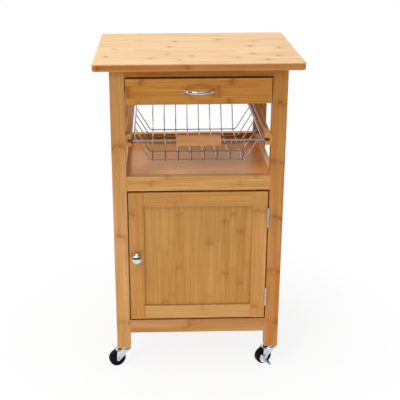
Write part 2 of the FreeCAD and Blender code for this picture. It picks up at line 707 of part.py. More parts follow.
# Butt hinges: the leaves fill the gap beside the door, and the knuckles stand just in front of it
hinge_axis_x = inner_x - door_side_gap / 2
hinge_axis_y = front_y - knuckle_stand
knuckle_radius = knuckle_diameter / 2
pin_radius = pin_diameter / 2
leaf_y = (hinge_axis_y + knuckle_radius + hinge_leaf_play, door_y[1] - hinge_leaf_margin)
door_leaf_x = (door_x[1], door_x[1] + hinge_leaf)
leg_leaf_x = (inner_x - hinge_leaf, inner_x)
hinge_middles = (door_z[1] - hinge_top_inset - hinge_height / 2,
                 door_z[0] + hinge_bottom_inset + hinge_height / 2)
knuckle_height = hinge_height / hinge_knuckles
door_leaves = []
leg_leaves = []
pins = []
hinge_screws_door = []
hinge_screws_leg = []
hinge_screw_holes = []
for middle in hinge_middles:
    low = middle - hinge_height / 2
    leaves = {}
    for owner, x_range, first in (("door", door_leaf_x, 1), ("leg", leg_leaf_x, 0)):
        leaf = block(x_range, leaf_y, (low, low + hinge_height))
        for i in range(first, hinge_knuckles, 2):
            step_z = low + i * knuckle_height
            z_range = (step_z + knuckle_gap / 2, step_z + knuckle_height - knuckle_gap / 2)
            foot = Vector(hinge_axis_x, hinge_axis_y, z_range[0])
            roll = Part.makeCylinder(knuckle_radius, z_range[1] - z_range[0], foot)
            strap = block(x_range, (hinge_axis_y, leaf_y[0]), z_range)
            leaf = leaf.fuse(roll).fuse(strap)
        bore_foot = Vector(hinge_axis_x, hinge_axis_y, low - hinge_height)
        bore = Part.makeCylinder(pin_radius + running_clearance, 3 * hinge_height, bore_foot)
        leaves[owner] = leaf.removeSplitter().cut(bore)
    aims = (("door", door_leaf_x[1], x_axis * -1, hinge_screws_door),
            ("leg", leg_leaf_x[0], x_axis, hinge_screws_leg))
    for owner, x, aim, kept in aims:
        for step in (-1, 0, 1):
            head = Vector(x, mid(leaf_y), middle + step * hinge_screw_spacing)
            sizes = (head, aim, hinge_leaf + hinge_screw_hold, hinge_screw_diameter,
                     hinge_screw_head_diameter, hinge_screw_head_height)
            kept.append(countersunk(*sizes))
            hole = countersunk(*sizes, clearance=screw_clearance)
            hinge_screw_holes.append(hole)
            leaves[owner] = leaves[owner].cut(hole)
    door_leaves.append(leaves["door"])
    leg_leaves.append(leaves["leg"])
    foot = Vector(hinge_axis_x, hinge_axis_y, low)
    pin = Part.makeCylinder(pin_radius, hinge_height, foot)
    cap = Part.makeCylinder(knuckle_radius, pin_head_height, foot + z_axis * hinge_height)
    base = Part.makeCylinder(knuckle_radius, pin_head_height, foot - z_axis * pin_head_height)
    pins.append(pin.fuse(cap).fuse(base).removeSplitter())
hinge_screw_room = Part.makeCompound(hinge_screw_holes)
nodes["door_stile_knob"] = stiles["knob"].cut(knob_bolt_hole)
nodes["door_stile_hinge"] = stiles["hinge"].cut(hinge_screw_room)
nodes["hinge_leaves_door"] = Part.makeCompound(door_leaves)
nodes["hinge_leaves_leg"] = Part.makeCompound(leg_leaves)
nodes["hinge_pins"] = Part.makeCompound(pins)
nodes["door_screws"] = Part.makeCompound(hinge_screws_door + [knob_bolt])
nodes["leg_front_right"] = nodes["leg_front_right"].cut(hinge_screw_room)

# Dowels and screws, and their holes in the legs and rails
nodes["frame_dowels"] = Part.makeCompound(dowels)
nodes["frame_screws"] = Part.makeCompound(screws + hinge_screws_leg)
fastener_room = Part.makeCompound(dowel_holes + screw_holes)
drilled = list(leg_places) + list(cross_rails) + ["side_aprons", "drawer_runners", "worktop"]
for kind in ("shelf_side_rail_", "side_panel_", "basket_rail_"):
    drilled += [kind + side for side, _ in sides]
for name in drilled:
    nodes[name] = nodes[name].cut(fastener_room)

# Caster: every piece is drawn about its swivel axis, trailing along +X, then turned and placed
wheel_radius = wheel_diameter / 2
cheek_y = (wheel_width / 2 + cheek_gap, wheel_width / 2 + cheek_gap + fork_thickness)
cup_z = (caster_height - cup_height, caster_height)
plate_z = (cup_z[0] - fork_plate_drop - fork_thickness, cup_z[0] - fork_plate_drop)
axle_place = Vector(caster_trail, 0, wheel_radius)
stem_head_top = plate_z[0] - fork_plate_drop


def caster_stem():
    """The fixed stem with its round cup under the leg and a riveted head under the fork."""
    cup = Part.makeCylinder(cup_diameter / 2, cup_height, z_axis * cup_z[0])
    under = [e for e in cup.Edges if e.BoundBox.ZMax < cup_z[0] + wood_round]
    cup = cup.makeFillet(cup_round, under)
    stem_top = caster_height + stem_length
    stem = rod(stem_diameter / 2, z_axis * stem_head_top, z_axis * stem_top)
    head = rod(stem_head_diameter / 2, z_axis * (stem_head_top - stem_head_height), z_axis * stem_head_top)
    return cup.fuse(stem).fuse(head).removeSplitter()


def caster_fork():
    """The pressed fork: a round plate under the cup, two cheeks that narrow to the axle, and a lug."""
    plate_thick = plate_z[1] - plate_z[0]
    plate = Part.makeCylinder(fork_plate_diameter / 2, plate_thick, z_axis * plate_z[0])
    bridge = block((0, caster_trail + cheek_front), (-cheek_y[1], cheek_y[1]), plate_z)
    lug_x = (caster_trail + cheek_front, caster_trail + cheek_front + fork_thickness)
    lug_y = (fork_lug_offset - fork_lug_width / 2, fork_lug_offset + fork_lug_width / 2)
    lug = block(lug_x, lug_y, (plate_z[0], plate_z[0] + fork_lug_rise))
    fork = plate.fuse(bridge).fuse(lug)
    foot_radius = cheek_foot_diameter / 2
    foot_slant = foot_radius * math.cos(math.pi / 4)
    for sign in (-1, 1):
        inner = min(sign * cheek_y[0], sign * cheek_y[1])
        outline = [(-cheek_rear, plate_z[1]), (caster_trail + cheek_front, plate_z[1]),
                   (caster_trail + foot_radius, wheel_radius), (caster_trail, wheel_radius),
                   (caster_trail - foot_slant, wheel_radius - foot_slant),
                   (-cheek_rear, plate_z[0])]
        cheek = flat_plate([Vector(x, inner, z) for x, z in outline], y_axis, fork_thickness)
        ear_place = Vector(caster_trail, inner, wheel_radius)
        ear = Part.makeCylinder(foot_radius, fork_thickness, ear_place, y_axis)
        fork = fork.fuse(cheek).fuse(ear)
    far = y_axis * wheel_width
    axle_hole = rod(axle_diameter / 2 + running_clearance, axle_place - far, axle_place + far)
    stem_hole = rod(stem_diameter / 2 + running_clearance, Vector(), z_axis * caster_height)
    return fork.removeSplitter().cut(axle_hole).cut(stem_hole)


def caster_axle(braked):
    """A riveted axle, longer on the side that carries a brake lever."""
    near = cheek_y[1] + (2 * brake_gap + brake_thickness if braked else 0.0)
    head = axle_head_diameter / 2
    shank = rod(axle_diameter / 2, axle_place - y_axis * cheek_y[1], axle_place + y_axis * near)
    near_head = rod(head, axle_place + y_axis * near, axle_place + y_axis * (near + axle_head_height))
    far_end = cheek_y[1] + axle_head_height
    far_head = rod(head, axle_place - y_axis * far_end, axle_place - y_axis * cheek_y[1])
    return shank.fuse(near_head).fuse(far_head).removeSplitter()


def caster_wheel():
    """A solid wheel with rounded shoulders, dished sides and a bored hub."""
    half = wheel_width / 2
    hub_half = cheek_y[0] - hub_side_gap
    bore = axle_diameter / 2 + running_clearance
    hub = hub_diameter / 2
    dish = half - wheel_dish
    rim = wheel_radius - wheel_rim_wall
    face = [(bore, hub_half), (hub, hub_half), (hub, dish), (rim, dish), (rim, half), (wheel_radius, half)]
    outline = [(r, -h) for r, h in face] + [(r, h) for r, h in reversed(face)]
    wheel = turned(outline)
    shoulders = [e for e in wheel.Edges if abs(e.BoundBox.XLength - wheel_diameter) < wheel_rim_wall
                 and e.BoundBox.ZLength < wheel_rim_wall]
    wheel = wheel.makeFillet(wheel_round, shoulders)
    wheel.rotate(Vector(), x_axis, 90)
    wheel.translate(axle_place)
    return wheel


def caster_brake():
    """A brake lever on the axle: a half-moon plate beside the wheel with a foot tab turned outwards."""
    low = cheek_y[1] + brake_gap
    thick = y_axis * brake_thickness
    face = axle_place + y_axis * low
    moon = Part.makeCylinder(brake_radius, brake_thickness, face, y_axis)
    keep = block((brake_chord, 2 * brake_radius), (low, low + brake_thickness), (-brake_radius, brake_radius))
    keep.rotate(Vector(), y_axis, -brake_lean)
    keep.translate(axle_place)
    plate = moon.common(keep).fuse(rod(brake_hub_diameter / 2, face, face + thick))
    tab = block((-brake_tab_offset - brake_tab_width, -brake_tab_offset), (low, low + brake_tab_reach),
                (-brake_tab_drop, -brake_tab_drop + brake_thickness))
    tab.translate(axle_place)
    far = y_axis * (low + brake_radius)
    hole = rod(axle_diameter / 2 + running_clearance, axle_place - far, axle_place + far)
    return plate.fuse(tab).removeSplitter().cut(hole)


def placed(solid, leg):
    """A caster piece turned to where it trails and set under its leg."""
    copy = solid.copy()
    copy.rotate(Vector(), z_axis, front_caster_turn if leg.y < 0 else rear_caster_turn)
    copy.translate(Vector(leg.x, leg.y, 0))
    return copy


stems = []
braked_corners = ("front_right", "rear_left")
for name, leg in leg_places.items():
    corner = name[len("leg_"):]
    braked = corner in braked_corners
    stems.append(placed(caster_stem(), leg))
    fork_and_axle = [placed(caster_fork(), leg), placed(caster_axle(braked), leg)]
    nodes["caster_fork_" + corner] = Part.makeCompound(fork_and_axle)
    nodes["caster_wheel_" + corner] = placed(caster_wheel(), leg)
    if braked:
        nodes["caster_brake_" + corner] = placed(caster_brake(), leg)
nodes["caster_stems"] = Part.makeCompound(stems)

os.makedirs("parts", exist_ok=True)
for name, shape in nodes.items():
    shape.exportStep("parts/%s.step" % name)
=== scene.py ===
import math
import bmesh
import bpy
from mathutils import Matrix, Vector


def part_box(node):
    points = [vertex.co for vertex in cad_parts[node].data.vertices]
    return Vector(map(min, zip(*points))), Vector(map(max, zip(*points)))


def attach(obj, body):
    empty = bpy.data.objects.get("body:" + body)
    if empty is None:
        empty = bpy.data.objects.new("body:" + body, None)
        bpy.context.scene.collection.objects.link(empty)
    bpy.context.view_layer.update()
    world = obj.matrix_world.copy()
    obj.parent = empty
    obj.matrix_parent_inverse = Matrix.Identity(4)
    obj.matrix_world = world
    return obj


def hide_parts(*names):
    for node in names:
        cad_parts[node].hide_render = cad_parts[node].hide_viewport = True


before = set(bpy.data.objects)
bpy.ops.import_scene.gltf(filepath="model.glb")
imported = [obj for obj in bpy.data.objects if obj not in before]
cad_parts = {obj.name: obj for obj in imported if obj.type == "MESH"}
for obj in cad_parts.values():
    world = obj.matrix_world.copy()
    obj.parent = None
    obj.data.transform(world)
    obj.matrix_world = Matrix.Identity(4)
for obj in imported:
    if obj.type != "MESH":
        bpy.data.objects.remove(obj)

scene = bpy.context.scene
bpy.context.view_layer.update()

# Legs: four square posts of bamboo, each glued up from a few upright staves, planed, eased along
# its corners and lacquered. The staves' own nodes show as short brown bands across them. The right
# legs' deeper tone is painted shade, for their side being away from the light on the left.


def tint(red, green, blue):
    """A colour written as 0 to 255 on screen, as the shader wants it."""
    parts = [c / 255 for c in (red, green, blue)]
    return (*[c / 12.92 if c <= 0.04045 else ((c + 0.055) / 1.055) ** 2.4 for c in parts], 1.0)


def put(tree, kind, inputs, **settings):
    """A shader node with its settings made and its inputs set, or wired from other sockets."""
    node = tree.nodes.new("ShaderNode" + kind)
    for key, value in settings.items():
        setattr(node, key, value)
    for socket, value in inputs.items():
        if isinstance(value, bpy.types.NodeSocket):
            tree.links.new(value, node.inputs[socket])
        else:
            node.inputs[socket].default_value = value
    return node


def calc(tree, operation, *terms):
    """The result of one sum."""
    return put(tree, "Math", dict(enumerate(terms)), operation=operation).outputs[0]


def fade(tree, value, start, end, low=0.0, high=1.0):
    """A value eased from low to high between two places."""
    inputs = dict(enumerate((value, start, end, low, high)))
    return put(tree, "MapRange", inputs, interpolation_type="SMOOTHSTEP").outputs[0]


def mix(tree, factor, first, second):
    """Two colours mixed."""
    inputs = {0: factor, 6: first, 7: second}
    return put(tree, "Mix", inputs, data_type="RGBA").outputs[2]


def stretched(tree, parts, scales, detail, roughness=0.5):
    """Noise drawn out along the grain: three coordinates, each with its own scale."""
    scaled = [calc(tree, "MULTIPLY", part, scale) for part, scale in zip(parts, scales)]
    place = put(tree, "CombineXYZ", dict(enumerate(scaled))).outputs[0]
    inputs = {"Vector": place, "Scale": 1.0, "Detail": detail, "Roughness": roughness}
    return put(tree, "TexNoise", inputs).outputs[0]


def new_group(name, wants, gives):
    """An empty node group with named inputs and outputs; returns its tree, input and output nodes."""
    tree = bpy.data.node_groups.new(name, "ShaderNodeTree")
    for socket, kind in wants.items():
        tree.interface.new_socket(socket, in_out="INPUT", socket_type="NodeSocket" + kind)
    for socket, kind in gives.items():
        tree.interface.new_socket(socket, in_out="OUTPUT", socket_type="NodeSocket" + kind)
    return tree, tree.nodes.new("NodeGroupInput").outputs, tree.nodes.new("NodeGroupOutput")


def give(tree, output, **results):
    """Wires a group's results to its output node."""
    for socket, value in results.items():
        tree.links.new(value, output.inputs[socket])


def make_bamboo_staves():
    """Glued bamboo: staves of slightly different tone with long streaks, node bands and glue lines.
    Place holds metres along the grain, across the staves and through the board."""
    values = ("End", "Edge", "Stave", "Layer", "Seed", "Node gap", "Node start", "Node wander", "Node share",
              "Node depth", "Contrast")
    wants = {"Place": "Vector", **dict.fromkeys(values, "Float"),
             **dict.fromkeys(("Pale", "Deep", "Node"), "Color")}
    gives = {"Color": "Color", "Roughness": "Float", "Height": "Float"}
    tree, own, output = new_group("bamboo_staves", wants, gives)
    along, across, through = put(tree, "SeparateXYZ", {0: own["Place"]}).outputs
    across_count = calc(tree, "ADD", calc(tree, "DIVIDE", across, own["Stave"]), own["Seed"])
    stave = calc(tree, "FLOOR", across_count)
    layer = calc(tree, "FLOOR", calc(tree, "DIVIDE", through, own["Layer"]))
    which = put(tree, "CombineXYZ", {0: stave, 1: layer, 2: own["Seed"]}).outputs[0]
    chance = put(tree, "TexWhiteNoise", {"Vector": which}, noise_dimensions="3D").outputs["Color"]
    lot, shift, stave_chance = put(tree, "SeparateColor", {0: chance}).outputs
    stave_shift = 9.0
    run = calc(tree, "MULTIPLY_ADD", lot, stave_shift, along)
    ribbons = stretched(tree, (run, across, through), (5.0, 95.0, 95.0), 2.0)
    streaks = stretched(tree, (run, across, through), (7.0, 300.0, 300.0), 3.0, 0.6)
    fibres = stretched(tree, (run, across, through), (24.0, 1500.0, 1500.0), 2.0, 0.6)

    # the nodes of the culm: bowed bands across each stave that flame out along its streaks
    bow_spread, bow_least = 0.016, -0.007
    streak_ragged, fibre_ragged = 0.022, 0.005
    band_reach, flame_reach, halo_reach = 0.0085, 0.026, 0.022
    within = calc(tree, "SUBTRACT", calc(tree, "FRACT", across_count), 0.5)
    bow = calc(tree, "MULTIPLY", calc(tree, "MULTIPLY", within, within),
               calc(tree, "MULTIPLY_ADD", lot, bow_spread, bow_least))
    from_start = calc(tree, "SUBTRACT", calc(tree, "ADD", along, bow), own["Node start"])
    node_count = calc(tree, "MULTIPLY_ADD", calc(tree, "SUBTRACT", shift, 0.5), own["Node wander"],
                      calc(tree, "DIVIDE", from_start, own["Node gap"]))
    nearest = calc(tree, "ROUND", node_count)
    offset = calc(tree, "MULTIPLY", calc(tree, "SUBTRACT", node_count, nearest), own["Node gap"])
    ragged = calc(tree, "MULTIPLY_ADD", calc(tree, "SUBTRACT", streaks, 0.5), streak_ragged, offset)
    ragged = calc(tree, "MULTIPLY_ADD", calc(tree, "SUBTRACT", fibres, 0.5), fibre_ragged, ragged)
    far = calc(tree, "ABSOLUTE", ragged)
    band = fade(tree, far, 0.0, band_reach, 1.0, 0.0)
    flames = calc(tree, "MULTIPLY", fade(tree, far, 0.001, flame_reach, 0.55, 0.0),
                  fade(tree, streaks, 0.42, 0.62))
    which_node = put(tree, "CombineXYZ", {0: stave, 1: nearest, 2: layer}).outputs[0]
    node_chance = put(tree, "TexWhiteNoise", {"Vector": which_node, "W": own["Seed"]},
                      noise_dimensions="4D").outputs[0]
    shown = fade(tree, calc(tree, "SUBTRACT", own["Node share"], stave_chance), 0.0, 0.2)
    shown = calc(tree, "MULTIPLY", shown, fade(tree, node_chance, 0.0, 0.8, 0.2, 1.0))
    halo = fade(tree, far, 0.0, halo_reach, 0.32, 0.0)
    marks = calc(tree, "MULTIPLY", calc(tree, "MAXIMUM", halo, calc(tree, "MAXIMUM", band, flames)), shown)

    # colour: each length between nodes has its own tone and warmth, with streaks along it
    length = calc(tree, "FLOOR", node_count)
    which_length = put(tree, "CombineXYZ", {0: stave, 1: length, 2: layer}).outputs[0]
    length_chance = put(tree, "TexWhiteNoise", {"Vector": which_length, "W": own["Seed"]},
                        noise_dimensions="4D").outputs["Color"]
    tone, warmth, _ = put(tree, "SeparateColor", {0: length_chance}).outputs
    depth = calc(tree, "MULTIPLY", calc(tree, "SUBTRACT", tone, 0.5), 0.32)
    for noise, weight in ((streaks, 2.2), (ribbons, 1.2), (fibres, 0.5)):
        depth = calc(tree, "MULTIPLY_ADD", calc(tree, "SUBTRACT", noise, 0.5), weight, depth)
    depth = calc(tree, "MULTIPLY_ADD", depth, own["Contrast"], 0.5)
    depth = calc(tree, "MINIMUM", calc(tree, "MAXIMUM", depth, 0.0), 1.0)
    colour = mix(tree, depth, own["Pale"], own["Deep"])
    cooler = calc(tree, "SUBTRACT", 0.5, ribbons)
    turn = calc(tree, "MULTIPLY_ADD", calc(tree, "SUBTRACT", warmth, 0.5), 0.5, cooler)
    turn = calc(tree, "MULTIPLY_ADD", calc(tree, "MULTIPLY", turn, own["Contrast"]), 0.004, 0.5)
    colour = put(tree, "HueSaturation", {"Hue": turn, "Color": colour}).outputs[0]
    colour = mix(tree, calc(tree, "MULTIPLY", marks, own["Node depth"]), colour, own["Node"])
    glue_line, glue_depth = (0.0001, 0.0006), 0.22
    to_joint = calc(tree, "SUBTRACT", 0.5, calc(tree, "ABSOLUTE", within))
    joint = fade(tree, calc(tree, "MULTIPLY", to_joint, own["Stave"]), *glue_line, 1.0, 0.0)
    colour = mix(tree, calc(tree, "MULTIPLY", joint, glue_depth), colour, own["Node"])

    # end grain: the fibre bundles show as dark dots; edges are paler, from rubbed wear and a painted
    # highlight
    dots = stretched(tree, (along, across, through), (40.0, 900.0, 900.0), 1.0)
    dotted = mix(tree, fade(tree, dots, 0.42, 0.62), own["Deep"], own["Node"])
    colour = mix(tree, own["End"], colour, dotted)
    # paler edges: partly rubbed wear, partly a painted highlight along the arrises
    colour = mix(tree, calc(tree, "MULTIPLY", own["Edge"], 0.8), colour, own["Pale"])
    height = calc(tree, "MULTIPLY_ADD", fibres, 0.35, calc(tree, "MULTIPLY", streaks, 0.3))
    height = calc(tree, "MULTIPLY_ADD", joint, -0.35, calc(tree, "MULTIPLY_ADD", marks, 0.2, height))
    height = calc(tree, "MULTIPLY_ADD", calc(tree, "MULTIPLY", own["End"], dots), 0.5, height)
    rough = calc(tree, "MULTIPLY_ADD", streaks, 0.16, calc(tree, "MULTIPLY_ADD", fibres, 0.12, 0.28))
    rough = calc(tree, "MULTIPLY_ADD", own["End"], 0.15, rough)
    rough = calc(tree, "MULTIPLY_ADD", own["Edge"], -0.06, rough)
    give(tree, output, Color=colour, Roughness=rough, Height=height)
    return tree


def make_worn_and_highlit_edges():
    """How near a point of a squared piece is to one of its edges, from the piece's two corners."""
    wants = {"Place": "Vector", "Low": "Vector", "High": "Vector", "Reach": "Float"}
    tree, own, output = new_group("worn_and_highlit_edges", wants, {"Edge": "Float"})
    above = put(tree, "VectorMath", {0: own["Place"], 1: own["Low"]}, operation="SUBTRACT").outputs[0]
    below = put(tree, "VectorMath", {0: own["High"], 1: own["Place"]}, operation="SUBTRACT").outputs[0]
    nearest = put(tree, "VectorMath", {0: above, 1: below}, operation="MINIMUM").outputs[0]
    x, y, z = put(tree, "SeparateXYZ", {0: nearest}).outputs
    least = calc(tree, "MINIMUM", x, y)
    most = calc(tree, "MAXIMUM", x, y)
    second = calc(tree, "MAXIMUM", least, calc(tree, "MINIMUM", most, z))
    uneven = put(tree, "TexNoise", {"Vector": own["Place"], "Scale": 45.0, "Detail": 3.0}).outputs[0]
    spread = calc(tree, "MULTIPLY", own["Reach"], calc(tree, "ADD", uneven, 0.5))
    give(tree, output, Edge=fade(tree, second, 0.0, spread, 1.0, 0.0))
    return tree


bamboo_staves = make_bamboo_staves()
worn_and_highlit_edges = make_worn_and_highlit_edges()
mm = 0.001
axes = {"X": 0, "Y": 1, "Z": 2}


def wood_tones(red, green, blue):
    """Pale, deep and node tones about one bamboo colour."""
    steps = {"Pale": (1.13, 1.2, 1.45), "Deep": (0.87, 0.8, 0.55), "Node": (0.58, 0.34, 0.2)}
    middle = tint(red, green, blue)
    return {name: (*[min(1.0, c * s) for c, s in zip(middle, step)], 1.0) for name, step in steps.items()}


def new_material(name):
    """A material with its Principled shader and nothing else yet."""
    material = bpy.data.materials.new(name)
    material.use_nodes = True
    return material, material.node_tree, material.node_tree.nodes["Principled BSDF"]


def wire_up(tree, shader, group, bump, distance):
    """A group's colour, roughness and height into the shader, with the height as a bump."""
    tree.links.new(group.outputs["Color"], shader.inputs["Base Color"])
    tree.links.new(group.outputs["Roughness"], shader.inputs["Roughness"])
    inputs = {"Strength": bump, "Distance": distance, "Height": group.outputs["Height"]}
    tree.links.new(put(tree, "Bump", inputs).outputs[0], shader.inputs["Normal"])


def bamboo(name, along, across, tone, stave=0.017, seed=0.0, layer=0.014, gap=0.2, start=0.0, wander=1.0,
           share=0.55, strong=0.6, contrast=1.0, corners=None, reach=0.0022, coat=0.05, side_tone=None,
           side_share=0.55):
    """Lacquered bamboo for one squared piece: which way its grain runs, its staves and its nodes.
    A shaded side tone, which is painted shade, and a side share of nodes are for the faces that don't look
    up."""
    material, tree, shader = new_material(name)
    places = put(tree, "TexCoord", {}).outputs
    parts = put(tree, "SeparateXYZ", {0: places["Object"]}).outputs
    (through,) = set("XYZ") - {along, across}
    ordered = {i: parts[axes[axis]] for i, axis in enumerate((along, across, through))}
    place = put(tree, "CombineXYZ", ordered).outputs[0]
    facing = put(tree, "SeparateXYZ", {0: places["Normal"]}).outputs[axes[along]]
    end = fade(tree, calc(tree, "ABSOLUTE", facing), 0.75, 0.95)
    inputs = {"Place": place, "End": end, "Stave": stave, "Layer": layer, "Seed": seed, "Node gap": gap,
              "Node start": start, "Node wander": wander, "Node share": share, "Node depth": strong,
              "Contrast": contrast, **wood_tones(*tone)}
    if side_tone:
        # painted light and shade: faces that look up take the piece's tone, the others the deeper shaded side
        # tone
        upward = fade(tree, put(tree, "SeparateXYZ", {0: places["Normal"]}).outputs[2], 0.0, 0.4)
        for part, colour in wood_tones(*side_tone).items():
            inputs[part] = mix(tree, upward, colour, inputs[part])
        inputs["Node share"] = calc(tree, "MULTIPLY_ADD", upward, share - side_share, side_share)
    if corners:
        low, high = corners
        edge = {"Place": places["Object"], "Low": low, "High": high, "Reach": reach}
        inputs["Edge"] = put(tree, "Group", edge, node_tree=worn_and_highlit_edges).outputs["Edge"]
    group = put(tree, "Group", inputs, node_tree=bamboo_staves)
    shader.inputs["Specular IOR Level"].default_value = 0.3
    shader.inputs["Coat Weight"].default_value = coat
    shader.inputs["Coat Roughness"].default_value = 0.18
    wire_up(tree, shader, group, bump=0.25, distance=0.0006)
    return material


def dress(node, material):
    """Gives a CAD node its finish."""
    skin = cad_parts[node].data.materials
    skin.clear()
    skin.append(material)


def dress_bamboo(node, along, across, tone, **staves):
    """Bamboo for a CAD node of one squared piece, its edges paler from rubbed wear and a painted highlight.
    """
    dress(node, bamboo("bamboo_" + node, along, across, tone, corners=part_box(node), **staves))


# painted shade: the right legs take a deeper tone than the left ones, as the light falls from the left
lit_and_shaded_leg_tones = {"left": (188, 136, 77), "right": (177, 116, 50)}
leg_nodes = {"front_left": (3.1, 0.229, 0.353), "front_right": (8.4, 0.14, 0.541),
             "rear_left": (5.7, 0.19, 0.57), "rear_right": (1.9, 0.21, 0.46)}
for corner, (seed, gap, start) in leg_nodes.items():
    tone = lit_and_shaded_leg_tones[corner.split("_")[1]]
    dress_bamboo("leg_" + corner, "Z", "X", tone, stave=0.0115, seed=seed, gap=gap, start=start, wander=0.06,
                 share=1.2, strong=0.85, contrast=1.2)

# Cross rails and side aprons: bamboo boards on edge, doweled into the legs. The front ones show
# their staves lying level, and the rear and side aprons close the drawer's bay.
honey = (186, 132, 66)
amber = (172, 112, 44)
# painted shade: the front top rail's dark tone stands in for the shade under the worktop's overhang
rails = {"front_top_rail": ((164, 103, 30), 2.3, 0.1), "rear_top_rail": (amber, 4.6, 0.05),
         "shelf_front_rail": ((188, 138, 72), 6.2, 0.13), "shelf_rear_rail": ((240, 182, 104), 1.4, -0.12),
         "bottom_front_rail": ((173, 121, 64), 9.1, -0.01), "bottom_rear_rail": (honey, 7.7, 0.08)}
# painted shade: the tray's rear rail takes a deep tone on its faces that don't look up, for the shade under
# the basket; its top stays pale
painted_shade_sides = {"shelf_rear_rail": (182, 112, 30)}
for rail, (tone, seed, start) in rails.items():
    dress_bamboo(rail, "X", "Z", tone, stave=0.018, seed=seed, gap=0.21, start=start, wander=0.3, share=0.7,
                 contrast=1.4, side_tone=painted_shade_sides.get(rail))
dress("side_aprons", bamboo("bamboo_side_aprons", "Y", "Z", amber, stave=0.019, seed=3.9))

# Tray: two thin side rails between the legs and a veneered shelf board let into all four rails.
# The veneer is a fine straight-grained sheet, pinker and duller than the bamboo round it. The
# rails' paler tops and deeper inner faces are painted light and painted shade, and the shelf's
# tone is raised as painted light where the drawer and worktop keep the lamps off it.
# painted light and shade: pale tops over shaded inner faces, and the right rail painted lighter for light
# that doesn't reach it
for side, tone, seed in (("left", (228, 158, 76), 2.8), ("right", (240, 176, 96), 5.2)):
    dress_bamboo("shelf_side_rail_" + side, "Y", "Z", (250, 200, 126), stave=0.018, seed=seed, share=0.4,
                 side_tone=tone)
# painted light: the shelf's tone is raised to stand in for light that the drawer and worktop keep off it
dress("shelf_board", bamboo("shelf_veneer", "X", "Y", (248, 182, 108), stave=0.0125, seed=1.3, share=0.0,
                            contrast=0.5, coat=0.2))

# Cabinet: bamboo side panels screwed inside the legs, and a thin plywood floor and back with a
# plain thin finish, let into grooves.
for side, seed in (("left", 6.6), ("right", 4.1)):
    dress_bamboo("side_panel_" + side, "Z", "Y", honey, stave=0.021, seed=seed, gap=0.3, share=0.4)
ply = (206, 156, 100)
for sheet, along, across, seed in (("cabinet_floor", "X", "Y", 2.2), ("back_panel", "Z", "X", 7.3)):
    dress(sheet, bamboo("ply_" + sheet, along, across, ply, stave=0.024, seed=seed, share=0.35, coat=0.0))

# Basket rails and drawer runners: strips of bamboo, the basket's with a groove for its glides and
# the drawer's plain, all screwed to the inner sides of the legs.
for side, tone, seed in (("left", (206, 146, 84), 3.3), ("right", (218, 156, 90), 8.8)):
    dress_bamboo("basket_rail_" + side, "Y", "Z", tone, stave=0.014, seed=seed, share=0.4)
dress("drawer_runners", bamboo("bamboo_drawer_runners", "Y", "Z", honey, stave=0.01, seed=5.5))

# Dowels: turned pegs of bamboo between the rails and the legs and in the drawer's corners, glued
# into their holes, where they are out of sight.
dress("frame_dowels", bamboo("bamboo_frame_dowels", "X", "Z", honey, stave=0.004, seed=1.1, share=0.0))
dress("drawer_dowels", bamboo("bamboo_drawer_dowels", "Y", "Z", honey, stave=0.003, seed=2.1, share=0.0))

# Frame screws: plated countersunk screws with cross recesses, through the panels, runners and
# basket rails into the legs, and up through the rails into the worktop.


def make_plated_metal():
    """Bright plated metal: faint smears and hairlines that break up its shine."""
    wants = {"Place": "Vector", "Bright": "Color", "Dull": "Color", "Smooth": "Float", "Smear": "Float"}
    gives = {"Color": "Color", "Roughness": "Float", "Height": "Float"}
    tree, own, output = new_group("plated_metal", wants, gives)
    smears = put(tree, "TexNoise", {"Vector": own["Place"], "Scale": 60.0, "Detail": 4.0}).outputs[0]
    grit = put(tree, "TexNoise", {"Vector": own["Place"], "Scale": 900.0, "Detail": 2.0}).outputs[0]
    cloudy = fade(tree, smears, 0.35, 0.7)
    colour = mix(tree, calc(tree, "MULTIPLY", cloudy, 0.5), own["Bright"], own["Dull"])
    rough = calc(tree, "MULTIPLY_ADD", cloudy, own["Smear"], own["Smooth"])
    rough = calc(tree, "MULTIPLY_ADD", grit, 0.03, rough)
    give(tree, output, Color=colour, Roughness=rough, Height=calc(tree, "MULTIPLY_ADD", grit, 0.4, smears))
    return tree


plated_metal = make_plated_metal()


def plated(name, bright, dull, smooth, smear, bump=0.02):
    """A plated metal with its own colour and shine."""
    material, tree, shader = new_material(name)
    place = put(tree, "TexCoord", {}).outputs["Object"]
    inputs = {"Place": place, "Bright": tint(*bright), "Dull": tint(*dull), "Smooth": smooth, "Smear": smear}
    group = put(tree, "Group", inputs, node_tree=plated_metal)
    shader.inputs["Metallic"].default_value = 1.0
    wire_up(tree, shader, group, bump, distance=0.0003)
    return material


def loft(bm, rings, ring_closed=True, capped=True):
    """Skins a row of rings of points with quads, and closes the two ends."""
    rows = [[bm.verts.new(point) for point in ring] for ring in rings]
    for row, following in zip(rows, rows[1:]):
        for i in range(len(row) if ring_closed else len(row) - 1):
            j = (i + 1) % len(row)
            bm.faces.new((row[i], row[j], following[j], following[i]))
    if capped:
        bm.faces.new(rows[0][::-1])
        bm.faces.new(rows[-1])
    return rows


def circle(radius, height, steps):
    """A level ring of points."""
    turns = [2 * math.pi * i / steps for i in range(steps)]
    return [Vector((radius * math.cos(t), radius * math.sin(t), height)) for t in turns]


def turned(bm, outline, place, steps=48):
    """A turned solid about an upright axis, from (radius, height) points in millimetres."""
    loft(bm, [[place @ point for point in circle(r * mm, h * mm, steps)] for r, h in outline])


def new_piece(name, bm, material, body, slot, *replaced, crease=35):
    """A finished mesh as a piece of the cart, smooth but for its creases, riding on its body."""
    bmesh.ops.recalc_face_normals(bm, faces=bm.faces)
    mesh = bpy.data.meshes.new(name)
    bm.to_mesh(mesh)
    bm.free()
    mesh.shade_smooth()
    mesh.set_sharp_from_angle(angle=math.radians(crease))
    mesh.materials.append(material)
    piece = bpy.data.objects.new(name, mesh)
    scene.collection.objects.link(piece)
    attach(piece, body)
    if replaced:
        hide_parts(*replaced)
    return piece


